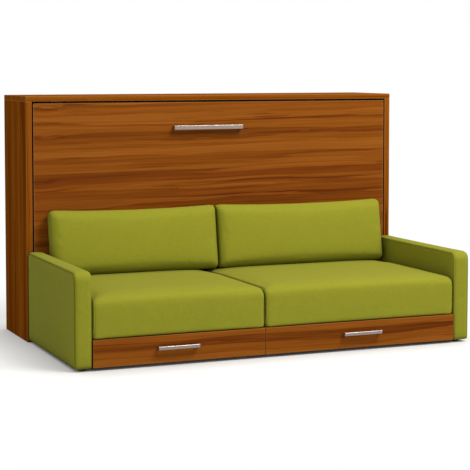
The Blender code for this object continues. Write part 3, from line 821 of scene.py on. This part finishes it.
backCushion = {
    "endRadius": 0.048,
    "rimRadius": 0.044,
    "rearRadius": 0.030,
    "roundShare": 0.8,  # of those two radii, where they run out at the ends
    "crown": 0.020,
    "shrink": 0.004,
    "rearShrink": 0.002,
    "voxel": 0.0085,
    "lean": math.radians(9.0),
    "thickness": 0.112,
    "padding": {"pressure": 3.0, "cap": 0.006},
    "over": 0.005,
    "swell": 0.009,
    "sink": 0.007,
    "cornerLift": 0.009,
    "topCap": 0.0095,
    "pressedShare": 0.88,
    "air": 0.0004,
}


def makeBackCushion(label):
    joint = next(j for j in frame["joints"] if j["name"] == f"back_fold_{label}")
    low, high = nodeBox(f"back_cushion_{label}")
    hingeY, hingeZ = joint["pos_m"][1], joint["pos_m"][2]
    seatTop = nodeBox(f"seat_cushion_{label}")[1].z
    thickness, shrink, over, air = (backCushion[key] for key in ("thickness", "shrink", "over", "air"))
    cos, sin = math.cos(backCushion["lean"]), math.sin(backCushion["lean"])
    edge = hingeZ - seatTop  # the rounded foot that the cushion turns on
    rise = (high.z - seatTop) / cos
    coverLow = Vector((low.x, hingeY - edge, hingeZ - edge))
    coverHigh = Vector((high.x, hingeY - edge + thickness, hingeZ - edge + rise))
    inLow = coverLow + Vector((shrink, shrink, 0))
    inHigh = coverHigh - Vector((shrink, backCushion["rearShrink"], shrink))
    piece = addBlock(f"backCushion.{label}", inLow, inHigh)
    roundAcross(piece, inLow, inHigh, True, backCushion["rimRadius"], 7, topOnly=False)
    roundAcross(piece, inLow, inHigh, False, backCushion["rearRadius"], 5, topOnly=False)
    rearShare, rimShare = (backCushion[key] * backCushion["roundShare"] / backCushion["endRadius"]
                           for key in ("rearRadius", "rimRadius"))

    def endWeight(centre, direction):
        if min(centre.x - inLow.x, inHigh.x - centre.x) > closeBy:
            return 0.0
        if abs(direction.z) > 0.98 and centre.y < inLow.y + closeBy:
            return 1.0
        forward = (inHigh.y - centre.y) / (inHigh.y - inLow.y)
        return rearShare + (rimShare - rearShare) * forward

    roundByWeight(piece, endWeight, backCushion["endRadius"], 6)
    remesh(piece, backCushion["voxel"], 4)
    # The crown: the front swells towards the middle
    points = readPoints(piece)
    across = share(points[:, 0], inLow.x, inHigh.x) * 2 - 1
    upward = share(points[:, 2], inLow.z, inHigh.z) * 2 - 1
    forward = np.clip((inHigh.y - points[:, 1]) / (inHigh.y - inLow.y), 0, 1)
    points[:, 1] -= backCushion["crown"] * (1 - across ** 4) * (1 - np.abs(upward) ** 2.6) * forward ** 2
    writePoints(piece, points)
    inflate(piece, **backCushion["padding"])
    fitTo(piece, coverLow + Vector((-over, -backCushion["swell"], -backCushion["sink"])),
          coverHigh + Vector((over, 0, 0)))
    # The ends are pressed flat, the other sides are left free
    keepInside(piece, coverLow + Vector((air, -1, -1)), coverHigh + Vector((-air, 1, 1)))
    # The corners of the cover stand up a little above the middle of its top edge
    points = readPoints(piece)
    across = share(points[:, 0], low.x, high.x) * 2 - 1
    upper = share(points[:, 2], coverLow.z, coverHigh.z)
    points[:, 2] += backCushion["cornerLift"] * np.abs(across) ** 2.5 * upper ** 3
    # It leans back about its hinge line
    y, z = points[:, 1] - hingeY, points[:, 2] - hingeZ
    points[:, 1] = hingeY + y * cos + z * sin
    points[:, 2] = hingeZ - y * sin + z * cos
    writePoints(piece, points)
    cap = backCushion["topCap"]
    keepInside(piece, (low.x + air, low.y - backCushion["swell"], low.z - cap),
               (high.x - air, high.y - air, high.z + cap))
    finishSoft(piece, 1)
    finishPiece(piece, f"back_{label}", "sofaCloth")
    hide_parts(f"back_cushion_{label}")
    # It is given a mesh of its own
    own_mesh(piece)


sofaArm = {
    "frontRadius": 0.040,
    "rearRadius": 0.025,
    "edge": 0.010,
    "shrink": 0.0025,
    "rearShrink": 0.0005,
    "voxel": 0.0070,
    "padding": {"pressure": 3.0, "cap": 0.003, "stiffness": 20, "bending": 2.0},
    "air": 0.0003,
    "fullness": 0.002,
    "flare": 0.009,  # further fullness of the outer side at the front
    "seamInset": 0.55,  # share of the edge's width
    "seamFoot": 0.004,  # the seams run straight down to the foot
    # The outer cord is dark for a painted groove shadow, the inner one lighter for a painted highlight
    "outer": {"radius": 0.0021, "sink": 0.0013, "finish": "seamGroove"},
    "inner": {"radius": 0.0015, "sink": 0.0006, "finish": "seamCloth"},
    "stitchPitch": 0.0075,
    "stitchSize": (0.00045, 0.0042),
    "stitchEnd": (0.0002, 0.0002),
    "stitchLift": 0.0002,
    "stitchFoot": 0.03,  # under the arm nothing is sewn
}
# Lines beside the arm's edge: further in, above the floor, taken off the bend
seamLine = (0.0, 0.002, 0.0)
stitchLine = (0.010, 0.004, 0.008)


def flareAt(y, low, high):
    along = np.clip((high.y - y) / (high.y - low.y), 0, 1)
    return sofaArm["fullness"] + sofaArm["flare"] * along


def armLine(low, high, x, flare, further, foot, offBend):
    # Points along the edge of one side of an arm, on its flared face
    inset = sofaArm["edge"] * sofaArm["seamInset"]
    loop = roundedLoop(low.y + inset + further, high.y - inset - further, low.z + foot,
                       high.z - inset - further, sofaArm["frontRadius"] - inset - offBend,
                       footRadius=sofaArm["seamFoot"])
    return [(x + flare * flareAt(y, low, high), y, z) for y, z in loop]


def makeArm(label, side):
    low, high = nodeBox(f"sofa_arm_{label}")
    shrink, air = sofaArm["shrink"], sofaArm["air"]
    inLow, inHigh = low + Vector((shrink, shrink, 0)), high - Vector((shrink, sofaArm["rearShrink"], shrink))
    piece = addBlock(f"sofaArm.{label}", inLow, inHigh)
    roundAcross(piece, inLow, inHigh, True, sofaArm["frontRadius"], 10)
    roundAcross(piece, inLow, inHigh, False, sofaArm["rearRadius"], 6)
    soften(piece, sofaArm["edge"], 5, 50)
    remesh(piece, sofaArm["voxel"], 3)
    inflate(piece, **sofaArm["padding"])
    fitTo(piece, (low.x + air, low.y + air, low.z), (high.x - air, high.y, high.z))
    # The arms are upholstered a little fuller towards the front
    points = readPoints(piece)
    outer = share(points[:, 0], low.x, high.x)
    outer = outer if side > 0 else 1 - outer
    points[:, 0] += side * flareAt(points[:, 1], low, high) * outer
    writePoints(piece, points)
    finishSoft(piece)
    finishPiece(piece, "root", "sofaCloth")
    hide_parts(f"sofa_arm_{label}")
    # Seams where the border strip meets the side panels, with a row of stitches beside each; the outer cord
    # is coloured as painted shadow, the inner as painted highlight
    for title, hand, flare in (("outer", side, side), ("inner", -side, 0)):
        x = high.x if hand > 0 else low.x
        addSeam(f"armSeam.{label}.{title}", piece, armLine(low, high, x, flare, *seamLine), **sofaArm[title])
        addStitches(f"armStitches.{label}.{title}", piece, armLine(low, high, x, flare, *stitchLine))


def addStitches(name, piece, loop):
    # One stitch is a short rounded bar, copied along the loop
    stitch = addRod("stitch", 6, *sofaArm["stitchSize"])
    insetFaces(stitch, lambda c, n: abs(n.z) > 0.9, sofaArm["stitchEnd"])
    length = sum(math.dist(loop[i - 1], loop[i]) for i in range(len(loop)))
    count = int(length / sofaArm["stitchPitch"])
    copies, gone, index = [], 0.0, 0
    for number in range(count):
        target = length * number / count
        while index < len(loop) - 1 and gone + math.dist(loop[index], loop[index + 1]) < target:
            gone += math.dist(loop[index], loop[index + 1])
            index += 1
        start, run = Vector(loop[index]), Vector(loop[(index + 1) % len(loop)]) - Vector(loop[index])
        point = start + run * min(1.0, (target - gone) / max(run.length, 1e-9))
        if point.z < sofaArm["stitchFoot"]:
            continue
        turn = Vector((0, 0, 1)).rotation_difference(run.normalized()).to_matrix()
        copies.append(copyPiece(stitch, "stitch", turn, onSurface(piece, point, sofaArm["stitchLift"])))
    bpy.data.objects.remove(stitch)
    row = joinPieces(copies, name)
    bpy.ops.object.shade_smooth_by_angle(angle=math.radians(50))
    finishPiece(row, "root", "thread")


for label in ("left", "right"):
    makeSeatCushion(label)
print("stage: seat cushions")
for label in ("left", "right"):
    makeBackCushion(label)
print("stage: back cushions")
makeArm("left", -1)
makeArm("right", 1)
print("stage: arms")


# Mattress with quilted faces, edge tapes and carrying handles
mattress = {
    "shrink": (0.002, 0.001, 0.002),
    "voxel": 0.010,
    "edge": 0.022,
    "quilt": 0.105,  # size of a quilted diamond
    "quiltDepth": 0.0035,
    "grooveWidth": 0.010,
    "border": (0.03, 0.07),  # the quilting fades in between these distances from the edge
    "face": (0.9, 0.98),  # and between these shares of half the thickness
    "tapeRadius": 0.0045,
    "tapeInset": 0.010,
    "handlePlaces": (-0.62, 0.62),
    "handle": ((-0.085, -0.014, -0.0006), (0.085, 0.014, 0.0010)),
}


def makeMattress():
    low, high = nodeBox("mattress")
    shrink, size = Vector(mattress["shrink"]), mattress["quilt"]
    middle = (low.y + high.y) / 2
    piece = addBlock("mattress.cover", low + shrink, high - shrink)
    soften(piece, mattress["edge"], 5, 40)
    remesh(piece, mattress["voxel"], 2)
    points = readPoints(piece)
    x, y, z = points.T
    # The quilting fades out towards the edge tapes
    room = np.minimum(np.minimum(x - low.x, high.x - x), np.minimum(z - low.z, high.z - z))
    groove = np.zeros(len(points))
    for line in ((x + z) / size, (x - z) / size):
        apart = np.abs(line - np.round(line)) * size
        groove = np.maximum(groove, np.exp(-(apart / mattress["grooveWidth"]) ** 2))
    onFace = share(np.abs(y - middle) / ((high.y - low.y) / 2), *mattress["face"])
    depth = mattress["quiltDepth"] * groove * share(room, *mattress["border"]) * onFace
    points[:, 1] -= np.where(y > middle, 1.0, -1.0) * depth
    writePoints(piece, points)
    finishSoft(piece)
    finishPiece(piece, "bed", "ticking")
    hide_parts("mattress")
    inset = mattress["tapeInset"]
    loop = roundedLoop(low.x + inset, high.x - inset, low.z + inset, high.z - inset, mattress["edge"],
                       steps=6, spacing=0.03)
    for end, y in (("front", low.y + inset), ("rear", high.y - inset)):
        addTube(f"mattressTape.{end}", [(x, y, z) for x, z in loop], mattress["tapeRadius"], "bed", "tape")
    for number, x in enumerate(mattress["handlePlaces"]):
        for end, z in (("top", high.z), ("low", low.z)):
            addWebbingHandle(f"mattressHandle.{end}.{number}", (x, middle, z))


def addBlockAt(name, place, low, high):
    # The corners are given from a place
    return addBlock(name, *([start + step for start, step in zip(place, corner)] for corner in (low, high)))


def addWebbingHandle(name, place):
    # A flat handle sewn to the mattress border
    piece = addBlockAt(name, place, *mattress["handle"])
    edit(piece)
    select(piece, "EDGE", lambda c, d: abs(d.x) > 0.9)
    bpy.ops.mesh.subdivide(number_cuts=8)
    leave()
    soften(piece, 0.0004)
    finishPiece(piece, "bed", "tape")


makeMattress()
print("stage: mattress")


# Mattress straps: webbing round the mattress with a cam buckle on the sleeping side
strap = {
    "thickness": 0.0020,
    "bend": 0.016,
    "inset": 0.0012,
    "frontInset": 0.0002,
    "sideInset": 0.0005,
    "buckleUp": 0.22,
    "plate": ((-0.030, -0.002, -0.022), (0.030, 0.009, 0.022)),
    "lever": ((-0.021, 0.001, -0.012), (0.021, 0.011, 0.013)),
}


def makeStrap(label):
    low, high = nodeBox(f"mattress_strap_{label}")
    inset, bend, sideways = strap["inset"], strap["bend"], strap["sideInset"]
    front, rear = low.y + strap["frontInset"], high.y - inset - bend
    # The profile runs over the top, down the sleeping side and back below
    profile = [(front, high.z - inset), *arc(rear, high.z - inset - bend, bend, 90, 0, 6),
               *arc(rear, low.z + inset + bend, bend, 0, -90, 6), (front, low.z + inset)]
    pick()
    bpy.ops.mesh.primitive_plane_add(size=1, location=(0, 0, 0))
    piece = named(f"mattressStrap.{label}")
    # One edge of a plane is put at the profile's start and extruded along it
    edit(piece)
    mesh = bmesh.from_edit_mesh(piece.data)
    bmesh.ops.delete(mesh, geom=[vert for vert in mesh.verts if vert.co.y > 0], context="VERTS")
    for vert in mesh.verts:
        vert.co = (low.x + sideways if vert.co.x < 0 else high.x - sideways, *profile[0])
    bmesh.update_edit_mesh(piece.data)
    bpy.ops.mesh.select_mode(type="EDGE")
    bpy.ops.mesh.select_all(action="SELECT")
    for before, after in zip(profile, profile[1:]):
        step = (0, after[0] - before[0], after[1] - before[1])
        bpy.ops.mesh.extrude_region_move(TRANSFORM_OT_translate={"value": step})
    bpy.ops.mesh.select_all(action="SELECT")
    bpy.ops.mesh.normals_make_consistent(inside=False)
    leave()
    applyStep(piece, "SOLIDIFY", thickness=strap["thickness"], offset=0)
    soften(piece, 0.0005, 2, 60)
    finishPiece(piece, "bed", "webbing")
    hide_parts(f"mattress_strap_{label}")
    makeBuckle(f"strapBuckle.{label}", ((low.x + high.x) / 2, high.y - inset, low.z + strap["buckleUp"]))


def makeBuckle(name, place):
    plate = addBlockAt(name, place, *strap["plate"])
    insetFaces(plate, lambda c, n: n.y > 0.9, (0.007, 0), (0.002, -0.004))
    soften(plate, 0.0012, 3)
    lever = addBlockAt(name + ".lever", place, *strap["lever"])
    insetFaces(lever, lambda c, n: n.y > 0.9, (0.003, 0.0006))
    soften(lever, 0.0012, 3)
    finishPiece(joinPieces([plate, lever], name), "bed", "plastic")


makeStrap("left")
makeStrap("right")
print("stage: straps")


# Screws and small fittings
screw = {"radius": 0.0045, "height": 0.0022, "head": ((0.25, 0.22), (0.35, 0.06), (0.10, -0.45))}
screwTurns = {
    "+X": Matrix.Rotation(quarterTurn, 3, "Y"), "-X": Matrix.Rotation(-quarterTurn, 3, "Y"),
    "+Y": Matrix.Rotation(-quarterTurn, 3, "X"), "-Y": Matrix.Rotation(quarterTurn, 3, "X"),
    "-Z": Matrix.Rotation(math.pi, 3, "X"),
}
pivotPlate = {
    "face": 1.0317,  # distance of its inner face from the middle
    "pivot": (0.274, 0.5283),
    "head": (0.524, 0.9783),
    "screws": ((0.10, 1), (0.22, -1), (0.50, 0), (0.78, 1), (0.90, -1)),  # share of the way, and the side
    "apart": 0.013,
}
bracket = {"fromEnd": 0.015, "fromEdge": 0.014, "fromBoard": 0.003}
bumperScrewIn = 0.010
drawerScrews = {"behindFront": -0.627, "fromEnd": 0.006, "ways": (0.02, 0.5, 0.98), "up": 0.060,
                "air": 0.0001}
leverBolts = {"face": 1.0063, "y": 0.2583, "heights": (0.408, 0.640, 0.675)}
backBoard = {
    "nail": (10, 0.0022, 0.0006, 0.0002),  # sides, radius, height, middle
    "nailRim": (0.0006, 0.0001),
    "edgeNails": (15, 0.03, 0.012, 0.011),  # number, from the ends, from the top and from the foot
    "endNails": (7, 0.10, 0.008),
    "joint": {"half": 0.011, "sink": 0.0004, "rise": 0.0012, "short": 0.002},
}


def makeScrewHead():
    # A pan head with a round recess, its axis along +Z
    radius, height = screw["radius"], screw["height"]
    piece = addRod("screwHead", 20, radius, height, height / 2)
    steps = [(radius * inward, height * up) for inward, up in screw["head"]]
    insetFaces(piece, lambda c, n: n.z > 0.9, *steps)
    bpy.ops.object.shade_smooth_by_angle(angle=math.radians(35))
    return piece


screwHead = makeScrewHead()


def addScrews(name, places, direction, body):
    copies = [copyPiece(screwHead, "screw", screwTurns[direction], place) for place in places]
    finishPiece(joinPieces(copies, name), body, "zincSteel")


def addFittings(label, side, outward, inward):
    # The pivot plate is screwed to the cabinet side beside its pins
    pivot, head = (Vector((side * pivotPlate["face"], *pivotPlate[end])) for end in ("pivot", "head"))
    run = head - pivot
    across = Vector((0, run.z, -run.y)).normalized() * pivotPlate["apart"]
    addScrews(f"plateScrews.{label}", [
        pivot + run * way + across * hand for way, hand in pivotPlate["screws"]], inward, "root")
    # Wall brackets: two screws up into the top board, two through the back board
    low, high = nodeBox(f"wall_bracket_{label}")
    ends = (low.x + bracket["fromEnd"], high.x - bracket["fromEnd"])
    addScrews(f"bracketScrewsUp.{label}", [
        (x, low.y + bracket["fromEdge"], high.z - bracket["fromBoard"]) for x in ends], "-Z", "root")
    addScrews(f"bracketScrewsBack.{label}", [
        (x, high.y - bracket["fromBoard"], low.z + bracket["fromEdge"]) for x in ends], "-Y", "root")
    # The closing bumper is held by one sunk screw
    low, high = nodeBox(f"closing_bumper_{label}")
    addScrews(f"bumperScrew.{label}", [((low.x + high.x) / 2, low.y + bumperScrewIn, low.z)], "-Z", "root")
    # Handle screws inside each drawer, behind the posts
    low, high = nodeBox(f"drawer_handle_{label}")
    ends = (low.x + drawerScrews["fromEnd"], high.x - drawerScrews["fromEnd"])
    addScrews(f"handleScrews.{label}", [(x, drawerScrews["behindFront"], (low.z + high.z) / 2) for x in ends],
              "+Y", f"drawer_{label}")
    # Screws through the drawer walls' ends into the drawer back
    low, high = nodeBox(f"drawer_{label}_back")
    addScrews(f"drawerScrews.{label}", [
        (low.x + drawerScrews["air"] + (high.x - low.x) * way, high.y, low.z + drawerScrews["up"])
        for way in drawerScrews["ways"]], "+Y", f"drawer_{label}")
    # Lever bolts into the bed frame's end tube
    addScrews(f"leverBolts.{label}", [
        (side * leverBolts["face"], leverBolts["y"], z) for z in leverBolts["heights"]], outward, "bed")


def addNails():
    # The back board is nailed round its edge
    low, high = nodeBox("cabinet_back_board")
    nail = addRod("nailHead", *backBoard["nail"])
    insetFaces(nail, lambda c, n: n.z > 0.9, backBoard["nailRim"])
    places = []
    count, inward, fromTop, fromFoot = backBoard["edgeNails"]
    for number in range(count):
        x = low.x + inward + (high.x - low.x - 2 * inward) * number / (count - 1)
        places += [(x, high.y, high.z - fromTop), (x, high.y, low.z + fromFoot)]
    count, inward, fromEnd = backBoard["endNails"]
    for number in range(count):
        z = low.z + inward + (high.z - low.z - 2 * inward) * number / (count - 1)
        places += [(low.x + fromEnd, high.y, z), (high.x - fromEnd, high.y, z)]
    copies = [copyPiece(nail, "nail", screwTurns["+Y"], place) for place in places]
    bpy.data.objects.remove(nail)
    finishPiece(joinPieces(copies, "backNails"), "root", "zincSteel")


def addBackJoint():
    # The two halves of the back board meet in a joining strip
    low, high = nodeBox("cabinet_back_board")
    half, sink, rise, short = backBoard["joint"].values()
    strip = addBlock("backJoint", (-half, high.y - sink, low.z + short),
                     (half, high.y + rise, high.z - short))
    insetFaces(strip, lambda c, n: n.y > 0.9, (0.004, -0.0005))
    soften(strip, 0.0003)
    finishPiece(strip, "root", "plastic")


addFittings("left", -1, "-X", "+X")
addFittings("right", 1, "+X", "-X")
addNails()
addBackJoint()
bpy.data.objects.remove(screwHead)
print("stage: fittings")


# Stage, light and camera
white = (1, 1, 1, 1)
floorLook = {
    "drop": 0.0004,
    "unseen": (0.42, 0.42, 0.42, 1),
    "seen": (0.47, 0.455, 0.44, 1),
    "glow": 0.54,
    # reach of the painted contact shadow on the floor
    "contact": 0.26,
    "stretch": (0.72, 1.0, 0.0),
    "fade": (1.3, 2.6),
}
skyLight = 0.60
lamps = {
    "key": {"place": (2.4, -3.7, 5.85), "target": (0.0, -0.1, 0.5), "size": (3.2, 2.6), "power": 432,
            "colour": (1.0, 0.99, 0.96)},
    "fill": {"place": (-4.5, -5.0, 1.8), "target": (0.0, 0.0, 0.6), "size": (3.0, 2.5), "power": 25,
             "colour": (0.98, 1.0, 0.88)},
}
cameraView = {
    "place": (-3.1279, -7.4954, 1.4407),
    "turn": 22.749,  # to the right
    "tilt": 3.654,   # downwards
    "lens": 116.70,
    "shift": -0.15,
}


def addShader(tree, kind, inputs):
    return addNode(tree, kind, inputs).outputs[0]


def splitRays(tree, unseen, seen):
    # The camera sees one look, and the light that falls on the sofa comes from the other
    rays = addNode(tree, "LightPath").outputs
    watched = mathNode(tree, "MAXIMUM", rays["Is Camera Ray"], rays["Is Transmission Ray"])
    return addShader(tree, "MixShader", {"Fac": watched, 1: unseen, 2: seen})


def makeStage():
    pick()
    bpy.ops.mesh.primitive_plane_add(size=60, location=(0, 0, -floorLook["drop"]))
    floor = named("floor")
    settle(floor)
    material, tree = startMaterial("studio floor")
    tree.nodes.clear()
    # Painted shadow: the glow that makes the floor white is dimmed by ambient occlusion close to and under
    # the sofa
    contact = addNode(tree, "AmbientOcclusion", {"Distance": floorLook["contact"]}, samples=8).outputs["AO"]
    strength = mathNode(tree, "MULTIPLY", contact, floorLook["glow"])
    glow = addShader(tree, "Emission", {"Color": white, "Strength": strength})
    shadowed = addShader(tree, "BsdfDiffuse", {"Color": floorLook["seen"]})
    near = addShader(tree, "AddShader", {0: shadowed, 1: glow})
    # Away from the sofa the floor runs out into plain white
    flat = vectorNode(tree, "MULTIPLY", objectPlace(tree), floorLook["stretch"])
    far = addNode(tree, "VectorMath", {0: flat}, operation="LENGTH").outputs["Value"]
    plain = addShader(tree, "Emission", {"Color": white, "Strength": 1.0})
    seen = addShader(tree, "MixShader", {"Fac": spread(tree, far, *floorLook["fade"]), 1: near, 2: plain})
    unseen = addShader(tree, "BsdfDiffuse", {"Color": floorLook["unseen"]})
    addNode(tree, "OutputMaterial", {"Surface": splitRays(tree, unseen, seen)})
    arrange(tree)
    floor.data.materials.append(material)


def makeWorld():
    world = bpy.data.worlds.new("studio")
    scene.world = world
    world.use_nodes = True
    tree = world.node_tree
    tree.nodes.clear()
    unseen, seen = (addShader(tree, "Background", {"Color": white, "Strength": strength})
                    for strength in (skyLight, 1.0))
    addNode(tree, "OutputWorld", {"Surface": splitRays(tree, unseen, seen)})
    arrange(tree)


def addLamp(name, place, target, size, power, colour):
    lamp = bpy.data.lights.new(name, "AREA")
    lamp.shape = "RECTANGLE"
    lamp.size, lamp.size_y = size
    lamp.energy = power
    lamp.color = colour
    holder = bpy.data.objects.new(name, lamp)
    holder.location = place
    holder.rotation_euler = (Vector(target) - Vector(place)).to_track_quat("-Z", "Y").to_euler()
    bpy.context.collection.objects.link(holder)


def addCamera():
    lens = bpy.data.cameras.new("camera")
    lens.lens = cameraView["lens"]
    lens.sensor_width = 36
    lens.shift_y = cameraView["shift"]
    lens.clip_end = 60
    camera = bpy.data.objects.new("camera", lens)
    camera.location = cameraView["place"]
    camera.rotation_euler = (math.radians(90 - cameraView["tilt"]), 0, -math.radians(cameraView["turn"]))
    bpy.context.collection.objects.link(camera)
    scene.camera = camera


makeStage()
makeWorld()
for name, lamp in lamps.items():
    addLamp(name, **lamp)
addCamera()
scene.view_settings.view_transform = "Standard"
print("stage: light and camera")

bpy.context.view_layer.update()
